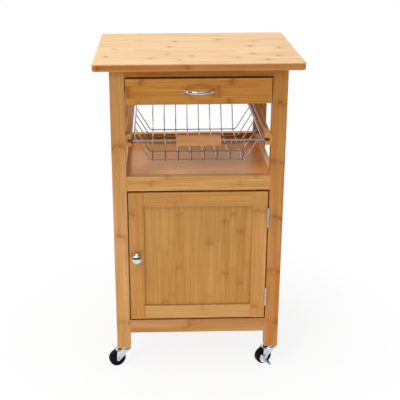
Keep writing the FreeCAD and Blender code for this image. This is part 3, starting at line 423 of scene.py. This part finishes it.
def fasteners(node):
    """Each screw of a CAD node: its head's middle, the way it looks, and its (depth, radius) steps."""
    bm = bmesh.new()
    bm.from_mesh(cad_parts[node].data)
    bmesh.ops.remove_doubles(bm, verts=bm.verts, dist=1e-6)
    waiting = set(bm.verts)
    found = []
    for seed in bm.verts:
        if seed not in waiting:
            continue
        waiting.discard(seed)
        island = [seed]
        for vert in island:
            for edge in vert.link_edges:
                other = edge.other_vert(vert)
                if other in waiting:
                    waiting.discard(other)
                    island.append(other)
        low = [min(v.co[i] for v in island) for i in range(3)]
        high = [max(v.co[i] for v in island) for i in range(3)]
        axis = max(range(3), key=lambda i: high[i] - low[i])
        middle = (Vector(low) + Vector(high)) / 2
        flat = [Vector([0 if i == axis else c for i, c in enumerate(v.co - middle)]).length for v in island]
        ends = [max(f for f, v in zip(flat, island) if abs(v.co[axis] - end[axis]) < mm / 50)
                for end in (low, high)]
        outward = Vector([0, 0, 0])
        outward[axis] = 1 if ends[1] > ends[0] else -1
        face = (high if ends[1] > ends[0] else low)[axis]
        steps = {}
        for f, v in zip(flat, island):
            depth = round(abs(v.co[axis] - face), 5)
            steps[depth] = max(steps.get(depth, 0), f)
        middle[axis] = face
        found.append((middle, outward, sorted(steps.items())))
    bm.free()
    return found


def add_cross_head(bm, middle, outward, steps, turn):
    """A screw with a cross recess: countersunk where its head tapers, and pan-headed where it doesn't."""
    radius = steps[0][1]
    head, under = steps[1]
    shank = steps[-1][1]
    length = steps[-1][0]
    eased = radius * 0.08
    if under < radius * 0.9:
        rim, below = [(radius - eased, 0), (radius, -eased)], [(shank, -head)]
    else:
        rim, below = [(radius * 0.72, 0), (radius, -head * 0.45)], [(radius, -head), (shank, -head)]
    outline = rim + below + [(shank, -length + shank), (shank * 0.3, -length)]
    place = Matrix.Translation(middle) @ outward.to_track_quat("Z", "Y").to_matrix().to_4x4()
    place = place @ Matrix.Rotation(turn, 4, "Z")
    rows = loft(bm, [[place @ p for p in circle(r, h, 24)] for r, h in outline], capped=False)
    bm.faces.new(rows[-1])
    arm, half, taper, recess = radius * 0.6, radius * 0.13, 0.7, head * 0.7
    cross = []
    for quarter in range(4):
        spin = Matrix.Rotation(quarter * math.pi / 2, 3, "Z")
        cross += [spin @ Vector(p) for p in ((half, half, 0), (arm, half, 0), (arm, -half, 0))][::-1]
    bottom = [Vector((p.x * taper, p.y * taper, -recess)) for p in cross]
    walls = loft(bm, [[place @ p for p in ring] for ring in (cross, bottom)], capped=False)
    bm.faces.new(walls[-1])
    edges = []
    for ring in (rows[0], walls[0]):
        edges += [bm.edges.get((a, b)) for a, b in zip(ring, ring[1:] + ring[:1])]
    bmesh.ops.triangle_fill(bm, edges=edges, use_beauty=True)


def cross_head_screws(name, node, material, body):
    """All the screws of a CAD node as one piece, each stopped at its own angle."""
    bm = bmesh.new()
    turn_each = 0.7
    for i, (middle, outward, steps) in enumerate(fasteners(node)):
        add_cross_head(bm, middle, outward, steps, turn_each * i)
    new_piece(name, bm, material, body, "bright_steel", node)


bright_steel = plated("bright_steel", (196, 194, 190), (160, 158, 154), smooth=0.24, smear=0.14)
cross_head_screws("screws_of_frame", "frame_screws", bright_steel, "frame")

# Worktop: a board of long bamboo staves glued edge to edge, with rounded edges. Its face is painted
# paler and brighter than the rest as painted light from above, its edges take a deeper tone as painted
# shade, and a wide pale band along its arrises is a painted highlight. A few staves show their nodes
# as small brown marks.
dress_bamboo("worktop", "X", "Y", (219, 178, 125), stave=0.0235, seed=4.2, layer=0.03, gap=0.2, share=0.42,
             strong=0.85, reach=0.006, side_tone=(187, 124, 58), side_share=1.2)

# Drawer: a bamboo front and box, doweled together, that slides on the runners. Its thin plywood
# bottom is let into grooves.
# painted shade: the drawer front's deep tone stands in for the shade under the worktop
dress_bamboo("drawer_front", "X", "Z", (182, 121, 47), stave=0.0295, seed=7.4, gap=0.206, start=0.064,
             wander=0.3, share=1.2, strong=0.85, contrast=1.3)
for side, seed in (("left", 1.7), ("right", 9.4)):
    dress_bamboo("drawer_side_" + side, "Y", "Z", honey, stave=0.015, seed=seed, share=0.4)
dress_bamboo("drawer_back", "X", "Z", honey, stave=0.015, seed=3.6, share=0.4)
dress("drawer_bottom", bamboo("ply_drawer_bottom", "X", "Y", ply, stave=0.03, seed=6.9, share=0.3, coat=0.0))

# Drawer handle: a cast bow on two flared feet, polished and chromed. Two pan-headed bolts from
# inside the drawer hold it.
chrome = plated("chrome", (214, 216, 220), (184, 187, 192), smooth=0.05, smear=0.07)
handle_low, handle_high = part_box("drawer_handle")
foot_x = 32 * mm
bow_tall, bow_thick = 3.5 * mm, 2.3 * mm
end_taller, end_thicker = 1.6 * mm, 1.5 * mm
drawer_face = handle_high.y
handle_z = (handle_low.z + handle_high.z) / 2
bow_out = drawer_face - handle_low.y - bow_thick
bow_radius = (foot_x ** 2 + bow_out ** 2) / (2 * bow_out)
bow_turn = math.asin(foot_x / bow_radius)
bow_steps = 40
bm = bmesh.new()
bow = []
for i in range(bow_steps + 1):
    share = 2 * i / bow_steps - 1
    turn = share * bow_turn
    out = Vector((math.sin(turn), -math.cos(turn), 0))
    middle = Vector((0, drawer_face - bow_out + bow_radius, handle_z)) + out * bow_radius
    flare = abs(share) ** 3
    tall = bow_tall + end_taller * flare
    thick = bow_thick + end_thicker * flare
    bow.append([middle + out * (p.x * thick) + Vector((0, 0, p.y * tall)) for p in circle(1, 0, 20)])
loft(bm, bow)
foot_outline = [(5.0, 0), (5.4, 0.3), (5.4, 0.9), (5.1, 1.6), (4.5, 2.6), (3.6, 4.2), (0.3, 5.0)]
for side in (-1, 1):
    foot = Matrix.Translation((side * foot_x, drawer_face, handle_z)) @ Matrix.Rotation(math.pi / 2, 4, "X")
    turned(bm, foot_outline, foot, steps=32)
handle = new_piece("handle", bm, chrome, "drawer", "chrome", "drawer_handle")
cast = handle.modifiers.new("cast", "REMESH")
cast.mode = "VOXEL"
cast.voxel_size = 0.45 * mm
cast.use_smooth_shade = True
polish = handle.modifiers.new("polish", "SMOOTH")
polish.factor = 0.5
polish.iterations = 8
cross_head_screws("bolts_of_handle", "handle_bolts", bright_steel, "drawer")

# Wire basket: two rods joined by side wires, with long and cross wires bent to a tray, all spot
# welded and chromed. A small flattened bead shows at each weld. Black moulded glides sit on the
# rods' ends, and a bamboo grip on the front rod.
wire_chrome = plated("wire_chrome", (186, 185, 184), (150, 148, 146), smooth=0.15, smear=0.1)
for wire in ("basket_rim", "basket_long_wires", "basket_cross_wires"):
    dress(wire, wire_chrome)
wire_radius = 1.3 * mm
long_low, long_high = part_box("basket_long_wires")
cross_low, cross_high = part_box("basket_cross_wires")
long_count, cross_count = 8, 5
first_long, last_long = long_low.x + wire_radius, long_high.x - wire_radius
first_cross, last_cross = cross_low.y + wire_radius, cross_high.y - wire_radius
long_x = [first_long + (last_long - first_long) * i / (long_count - 1) for i in range(long_count)]
cross_y = [first_cross + (last_cross - first_cross) * i / (cross_count - 1) for i in range(cross_count)]
weld_level = (long_low.z + cross_low.z) / 2 + wire_radius
bm = bmesh.new()
bead_wide, bead_tall = 2.0 * mm, 1.2 * mm
bead = Matrix.Diagonal((bead_wide, bead_wide, bead_tall, 1.0))
for x in long_x:
    for y in cross_y:
        bmesh.ops.create_uvsphere(bm, u_segments=12, v_segments=8, radius=1.0,
                                  matrix=Matrix.Translation((x, y, weld_level)) @ bead)
new_piece("basket_welds", bm, wire_chrome, "basket", "chrome")


def moulded(name, colour, dusty, rough, gloss=0.5):
    """Black moulded plastic or rubber with a fine mould grain and a little dust."""
    material, tree, shader = new_material(name)
    place = put(tree, "TexCoord", {}).outputs["Object"]
    grain = put(tree, "TexNoise", {"Vector": place, "Scale": 1400.0, "Detail": 2.0}).outputs[0]
    dust = put(tree, "TexNoise", {"Vector": place, "Scale": 90.0, "Detail": 4.0}).outputs[0]
    shade = mix(tree, fade(tree, dust, 0.4, 0.75), tint(*colour), tint(*dusty))
    shader.inputs["Specular IOR Level"].default_value = gloss
    tree.links.new(shade, shader.inputs["Base Color"])
    tree.links.new(calc(tree, "MULTIPLY_ADD", dust, 0.2, rough), shader.inputs["Roughness"])
    inputs = {"Strength": 0.2, "Distance": 0.0002, "Height": grain}
    tree.links.new(put(tree, "Bump", inputs).outputs[0], shader.inputs["Normal"])
    return material


black_plastic = moulded("black_plastic", (28, 27, 26), (44, 43, 42), rough=0.35)
dress("basket_glides", black_plastic)
dress_bamboo("basket_grip", "X", "Z", (182, 127, 73), stave=0.012, seed=2.6, gap=0.3, start=0.2, share=0.3)

# Door: two bamboo stiles and two rails tongued together round a thin flat panel of upright
# staves, which stands back from the frame's face.
for stile, tone, seed in (("knob", (174, 120, 52), 6.4), ("hinge", (184, 129, 62), 3.7)):
    dress_bamboo("door_stile_" + stile, "Z", "X", tone, stave=0.018, seed=seed, gap=0.258, start=0.155,
                 wander=0.1, share=0.7)
for rail, tone, seed, start in (("top", (179, 124, 57), 8.2, -0.046), ("bottom", (185, 137, 77), 1.6, -0.02)):
    dress_bamboo("door_rail_" + rail, "X", "Z", tone, stave=0.018, seed=seed, gap=0.25, start=start,
                 wander=0.5, share=0.6)
dress_bamboo("door_panel", "Z", "X", (173, 123, 54), stave=0.0185, seed=5.9, gap=0.14, share=0.6, strong=0.5)

# Hinges: two pressed butt hinges of plated steel with five knuckles on a pin, screwed to the
# door's edge and the leg.
for node in ("hinge_leaves_door", "hinge_leaves_leg", "hinge_pins"):
    dress(node, bright_steel)
cross_head_screws("screws_of_door", "door_screws", bright_steel, "door")

# Door knob: a turned mushroom of chromed metal on the free stile. A bolt from behind the stile
# holds it.
knob_low, knob_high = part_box("door_knob")
knob_outline = [(8.0, 0), (8.4, 0.4), (8.4, 1.4), (8.0, 2.1), (6.9, 2.9), (5.5, 4.0), (4.7, 5.6), (4.5, 7.6),
                (4.8, 9.8), (5.8, 11.7), (7.6, 13.4), (9.8, 14.8), (11.4, 16.2), (11.95, 17.6), (11.85, 18.9),
                (11.3, 20.3), (10.1, 21.8), (8.2, 23.2), (5.6, 24.3), (2.8, 24.85), (0.05, 25.0)]
knob_place = Vector(((knob_low.x + knob_high.x) / 2, knob_high.y, (knob_low.z + knob_high.z) / 2))
bm = bmesh.new()
turned(bm, knob_outline, Matrix.Translation(knob_place) @ Matrix.Rotation(math.pi / 2, 4, "X"), steps=64)
new_piece("knob", bm, chrome, "door", "chrome", "door_knob", crease=60)

# Magnetic catch: a moulded case on the side panel with two steel pole strips at its front, and a
# small steel plate on the door.
dress("catch_plate", bright_steel)


def add_box(bm, low, high):
    """A squared block from its two corners."""
    middle = (Vector(low) + Vector(high)) / 2
    size = Vector(high) - Vector(low)
    bmesh.ops.create_cube(bm, size=1.0, matrix=Matrix.Translation(middle) @ Matrix.Diagonal((*size, 1.0)))


def ease(piece, width):
    """Rounds a piece's sharp edges."""
    rounding = piece.modifiers.new("eased", "BEVEL")
    rounding.width = width
    rounding.segments = 2
    rounding.limit_method = "ANGLE"
    rounding.harden_normals = True


catch_low, catch_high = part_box("catch_magnet")
bm = bmesh.new()
add_box(bm, catch_low, catch_high)
ease(new_piece("catch_case", bm, black_plastic, "frame", "black_plastic", "catch_magnet"), 0.8 * mm)
pole_half, pole_out, pole_deep, pole_inset = 0.8 * mm, 0.1 * mm, 3 * mm, 4 * mm
bm = bmesh.new()
for share in (0.3, 0.7):
    x = catch_low.x + (catch_high.x - catch_low.x) * share
    add_box(bm, (x - pole_half, catch_low.y - pole_out, catch_low.z + pole_inset),
            (x + pole_half, catch_low.y + pole_deep, catch_high.z - pole_inset))
ease(new_piece("catch_poles", bm, bright_steel, "frame", "bright_steel"), 0.1 * mm)

# Casters: zinc-plated pressed forks that swivel on a stem under each leg, with black wheels on
# riveted axles. The front right and rear left ones have a brake lever beside the wheel.
zinc = plated("zinc", (222, 230, 234), (176, 190, 198), smooth=0.24, smear=0.16, bump=0.05)
satin_zinc = plated("satin_zinc", (236, 241, 244), (206, 214, 220), smooth=0.44, smear=0.1, bump=0.05)
wheel_rubber = moulded("wheel_rubber", (6, 6, 7), (12, 12, 12), rough=0.3, gloss=0.1)
caster_turns = {"front": 204.0, "rear": 236.0}
trail, axle_height = 20.0, 21.0
axle = Matrix.Translation((trail * mm, 0, axle_height * mm)) @ Matrix.Rotation(-math.pi / 2, 4, "X")
cheek_y, plate_z, bend, sheet_thickness = 10.1, 43.8, 2.2, 1.8
cheek_face, brake_near, brake_thickness, brake_face = 11.0, 11.3, 1.5, 13.1
axle_radius, rivet_rise, tab_thickness = 3.0, 2.0, 1.4
stem_outline = [(0.1, 40.1), (5.4, 40.1), (6.0, 40.6), (6.0, 42.2), (5.6, 42.6), (4.0, 42.6), (4.0, 45.0),
                (10.4, 45.0), (11.8, 45.5), (12.5, 46.7), (12.5, 47.6), (12.0, 47.9), (12.0, 48.4),
                (12.5, 48.7), (12.5, 50.0), (4.0, 50.0), (4.0, 85.0), (0.1, 85.0)]
wheel_outline = [(3.1, -8.8), (6.2, -8.8), (6.5, -8.5), (6.5, -5.8), (7.2, -5.5), (15.8, -5.5), (16.5, -5.9),
                 (16.6, -7.6), (17.2, -8.0), (18.4, -8.0), (19.8, -7.5), (20.6, -6.4), (20.9, -5.0),
                 (20.95, -0.5), (21.0, -0.15)]
wheel_outline += [(r, -h) for r, h in reversed(wheel_outline)]
flange_outline = [(4.1, 42.9), (15.6, 42.9), (16.0, 43.3), (16.0, 44.3), (15.6, 44.7), (4.1, 44.7)]


def rivet(bm, place, start):
    """A domed rivet head on the axle, from a distance off the wheel's middle."""
    steps = [(4.4, 0.0), (4.75, 0.25), (4.5, 0.65), (3.4, 0.95), (1.6, 1.0), (1.2, 0.7), (0.05, 0.65)]
    turned(bm, [(radius, start + rivet_rise * share) for radius, share in steps], place, steps=32)


def fork_sections():
    """The pressed sheet's mid-line at stations along the fork: up one cheek, over and down the other."""
    rear_x, rear_z, rear_slope = -13, 42.9, 0.8745
    ear, top_front = 5.25, 3.5
    stations = [(x, rear_z - (x - rear_x) * rear_slope) for x in (rear_x, -10, -6, -2, 2, 6, 10, 13, 15.8)]
    for i in range(1, 10):
        turn = math.radians(225 + 15 * i)
        stations.append((trail + ear * math.cos(turn), axle_height + ear * math.sin(turn)))
    rows = []
    for x, foot in stations:
        shoulder = plate_z - bend
        foot = min(foot, shoulder - 0.5)
        half = [(cheek_y, foot + (shoulder - foot) * i / 8) for i in range(9)]
        for i in range(1, 5):
            turn = math.pi / 2 * i / 4
            half.append((cheek_y - bend + bend * math.cos(turn), shoulder + bend * math.sin(turn)))
        half += [((cheek_y - bend) * i / 4, plate_z) for i in (3, 2, 1, 0)]
        section = [(-y, z) for y, z in half] + [(y, z) for y, z in reversed(half[:-1])]
        ahead = max(0.0, x - trail) * (1 - top_front / ear) / (plate_z - axle_height)
        rows.append([Vector((x - ahead * max(0.0, z - axle_height), y, z)) * mm for y, z in section])
    return rows


def lug_sections():
    """The tab turned up from the fork's front edge, from its root to its rounded top."""
    upright, middle_y = 24.4, 1.5
    line = [(19.5, plate_z), (23.1, plate_z), (24.0, plate_z + 0.5), (upright, plate_z + 1.6),
            (upright, 49.5), (upright, 53.7), (upright, 54.8)]
    halves = [3.5] * 5 + [3.2, 2.2]
    return [[Vector((x, middle_y + side * half, z)) * mm for side in (-1, -0.5, 0, 0.5, 1)]
            for (x, z), half in zip(line, halves)]


def brake_plate(bm):
    """The brake's half-moon beside the wheel, pressed in a little on its outer face, and its hub."""
    near, far = brake_near, brake_near + brake_thickness
    moon_radius, moon_chord, lean = 15.5, 2.0, math.radians(-41)
    reach = math.acos(moon_chord / moon_radius)
    moon = [(math.cos(lean + reach * i / 16), math.sin(lean + reach * i / 16)) for i in range(-16, 17)]
    rings = []
    for y, radius in ((near, 15.0), (near + 0.4, moon_radius), (far - 0.3, moon_radius), (far, 15.1),
                      (far, 14.0), (far - 0.5, 13.4)):
        rings.append([Vector((trail + radius * x, y, axle_height + radius * z)) * mm for x, z in moon])
    loft(bm, rings)
    hub = [(3.1, near), (6.6, near), (7.0, near + 0.4), (7.0, far - 0.4), (6.6, far), (3.1, far)]
    turned(bm, hub, axle, steps=32)


def foot_tab(bm):
    """The lever's foot tab: a tongue with a rounded end and a raised rib along it."""
    middle_x, root_z, sag = trail - 6.25, axle_height - 13.25, 0.004
    across = [(-1, 0), (-0.6, 0), (-0.25, 0.5), (0.25, 0.5), (0.6, 0), (1, 0)]
    rows = []
    for out, half in ((0, 4.25), (4, 4.25), (10, 4.25), (15, 4.0), (17, 3.2), (18, 2.0)):
        rows.append([Vector((middle_x + side * half, brake_near + out, root_z - sag * out ** 2 + rib)) * mm
                     for side, rib in across])
    loft(bm, rows, ring_closed=False, capped=False)


def sheet_metal(piece, thickness):
    """Gives a pressed piece the thickness of its sheet and rounds its cut edges."""
    gauge = piece.modifiers.new("gauge", "SOLIDIFY")
    gauge.thickness = thickness
    gauge.offset = 0
    ease(piece, 0.3 * mm)


stems = bmesh.new()
for corner in leg_nodes:
    low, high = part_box("leg_" + corner)
    swivel = Matrix.Rotation(math.radians(caster_turns[corner.split("_")[0]]), 4, "Z")
    place = Matrix.Translation(((low.x + high.x) / 2, (low.y + high.y) / 2, 0)) @ swivel
    turned(stems, stem_outline, place)
    braked = "caster_brake_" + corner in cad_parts
    bm = bmesh.new()
    loft(bm, fork_sections(), ring_closed=False, capped=False)
    loft(bm, lug_sections(), ring_closed=False, capped=False)
    bm.transform(place)
    fork = new_piece("fork_" + corner, bm, zinc, "swivel_" + corner, "zinc", "caster_fork_" + corner)
    sheet_metal(fork, sheet_thickness * mm)
    bm = bmesh.new()
    turned(bm, flange_outline, place)
    outer_face = brake_face if braked else cheek_face
    rivet(bm, place @ axle, outer_face)
    rivet(bm, place @ axle @ Matrix.Rotation(math.pi, 4, "X"), cheek_face)
    turned(bm, [(axle_radius, -cheek_face), (axle_radius, outer_face)], place @ axle, steps=24)
    new_piece("axle_" + corner, bm, zinc, "swivel_" + corner, "zinc")
    bm = bmesh.new()
    turned(bm, wheel_outline, place @ axle, steps=64)
    new_piece("wheel_" + corner, bm, wheel_rubber, "wheel_" + corner, "wheel_rubber",
              "caster_wheel_" + corner)
    if braked:
        bm = bmesh.new()
        brake_plate(bm)
        bm.transform(place)
        new_piece("brake_" + corner, bm, zinc, "brake_" + corner, "zinc", "caster_brake_" + corner)
        bm = bmesh.new()
        foot_tab(bm)
        bm.transform(place)
        tab = new_piece("brake_tab_" + corner, bm, zinc, "brake_" + corner, "zinc")
        sheet_metal(tab, tab_thickness * mm)
new_piece("stems", stems, satin_zinc, "frame", "zinc", "caster_stems")

# Floor, light and camera: a plain white floor that keeps the shadow, a white studio round it, soft
# lights from the upper left, from above, from both sides and low in front, and the camera where the
# photograph was taken.
reach = 8.0
floor_mesh = bpy.data.meshes.new("floor")
floor_mesh.from_pydata([(-reach, -reach, 0), (reach, -reach, 0), (reach, reach, 0), (-reach, reach, 0)], [],
                       [(0, 1, 2, 3)])
floor = bpy.data.objects.new("floor", floor_mesh)
scene.collection.objects.link(floor)


def rays(tree):
    """Two masks: rays straight from the camera or through glass, and rays from a shiny surface."""
    path = put(tree, "LightPath", {}).outputs
    return calc(tree, "MAXIMUM", path["Is Camera Ray"], path["Is Transmission Ray"]), path["Is Glossy Ray"]


floor_paint, tree, shader = new_material("floor_paint")
shader.inputs["Roughness"].default_value = 0.9
shader.inputs["Specular IOR Level"].default_value = 0.0
places = put(tree, "TexCoord", {}).outputs
speckle = put(tree, "TexNoise", {"Vector": places["Object"], "Scale": 3.0}).outputs[0]
pale = mix(tree, speckle, tint(238, 238, 238), tint(242, 242, 242))
tree.links.new(pale, shader.inputs["Base Color"])
white = put(tree, "Emission", {"Color": (1, 1, 1, 1), "Strength": 1.0}).outputs[0]
away = put(tree, "VectorMath", {0: places["Object"]}, operation="LENGTH").outputs["Value"]
shadow_reach, mirrored_reach = (0.2, 0.7), (0.5, 1.3)
straight, shiny = rays(tree)
lit_share = calc(tree, "MULTIPLY", straight, fade(tree, away, *shadow_reach, 0.87, 1.0))
aside = calc(tree, "ABSOLUTE", put(tree, "SeparateXYZ", {0: places["Object"]}).outputs[0])
lit_share = calc(tree, "MULTIPLY_ADD", shiny, fade(tree, aside, *mirrored_reach, 0.75, 0.0), lit_share)
shaded = put(tree, "MixShader", {0: lit_share, 1: shader.outputs[0], 2: white}).outputs[0]
tree.links.new(shaded, tree.nodes["Material Output"].inputs["Surface"])
floor_mesh.materials.append(floor_paint)

world = bpy.data.worlds.new("studio")
scene.world = world
world.use_nodes = True
sky = world.node_tree.nodes["Background"]
sky.inputs["Color"].default_value = (1, 1, 1, 1)
tree = world.node_tree
room_light, dark_end, least_light = 0.29, 0.92, 0.02
direction = put(tree, "TexCoord", {}).outputs["Generated"]
_, ahead, up = put(tree, "SeparateXYZ", {0: direction}).outputs
dark = calc(tree, "MULTIPLY", fade(tree, ahead, 0.1, 0.65, 1.0, 0.0), fade(tree, up, 0.45, 0.85, 1.0, 0.0))
mirrored = calc(tree, "MULTIPLY_ADD", dark, -dark_end, 1.0 - room_light)
straight, shiny = rays(tree)
strength = calc(tree, "MULTIPLY_ADD", straight, 1.0 - room_light, room_light)
strength = calc(tree, "MULTIPLY_ADD", shiny, mirrored, strength)
strength = calc(tree, "MAXIMUM", strength, least_light)
tree.links.new(strength, sky.inputs["Strength"])


def lamp(name, place, target, width, height, power):
    """A flat soft light aimed at a point."""
    light = bpy.data.lights.new(name, "AREA")
    light.shape = "RECTANGLE"
    light.size = width
    light.size_y = height
    light.energy = power
    holder = bpy.data.objects.new(name, light)
    scene.collection.objects.link(holder)
    holder.location = place
    holder.rotation_euler = (Vector(target) - Vector(place)).to_track_quat("-Z", "Y").to_euler()
    return holder


lamp("key_light", (-1.0, -1.5, 2.6), (0, -0.1, 0.4), width=0.9, height=0.9, power=32)
low_light = lamp("low_light", (0.0, -0.95, 0.05), (0, -0.1, 0.1), width=1.8, height=0.3, power=7)
low_light.visible_glossy = False
lamp("side_light", (-1.75, -0.2, 1.35), (0.1, -0.05, 0.43), width=0.6, height=0.6, power=9)
lamp("right_light", (2.2, 0.15, 0.4), (0, 0.05, 0.4), width=0.8, height=0.8, power=8)
lamp("top_light", (0.0, 0.3, 2.3), (0, 0, 0.7), width=1.2, height=1.2, power=16)

camera = bpy.data.cameras.new("camera")
camera.lens = 75.094
camera.sensor_width = 36
camera.shift_x = 0.06
camera.shift_y = -0.03
eye = bpy.data.objects.new("camera", camera)
scene.collection.objects.link(eye)
turn = Matrix.Rotation(math.radians(-1.312), 4, "Z")
tilt = Matrix.Rotation(math.radians(90 - 20.146), 4, "X")
roll = Matrix.Rotation(math.radians(-0.234), 4, "Z")
eye.matrix_world = Matrix.Translation((-0.095, -2.0261, 1.1563)) @ turn @ tilt @ roll
scene.camera = eye
scene.view_settings.view_transform = "Standard"
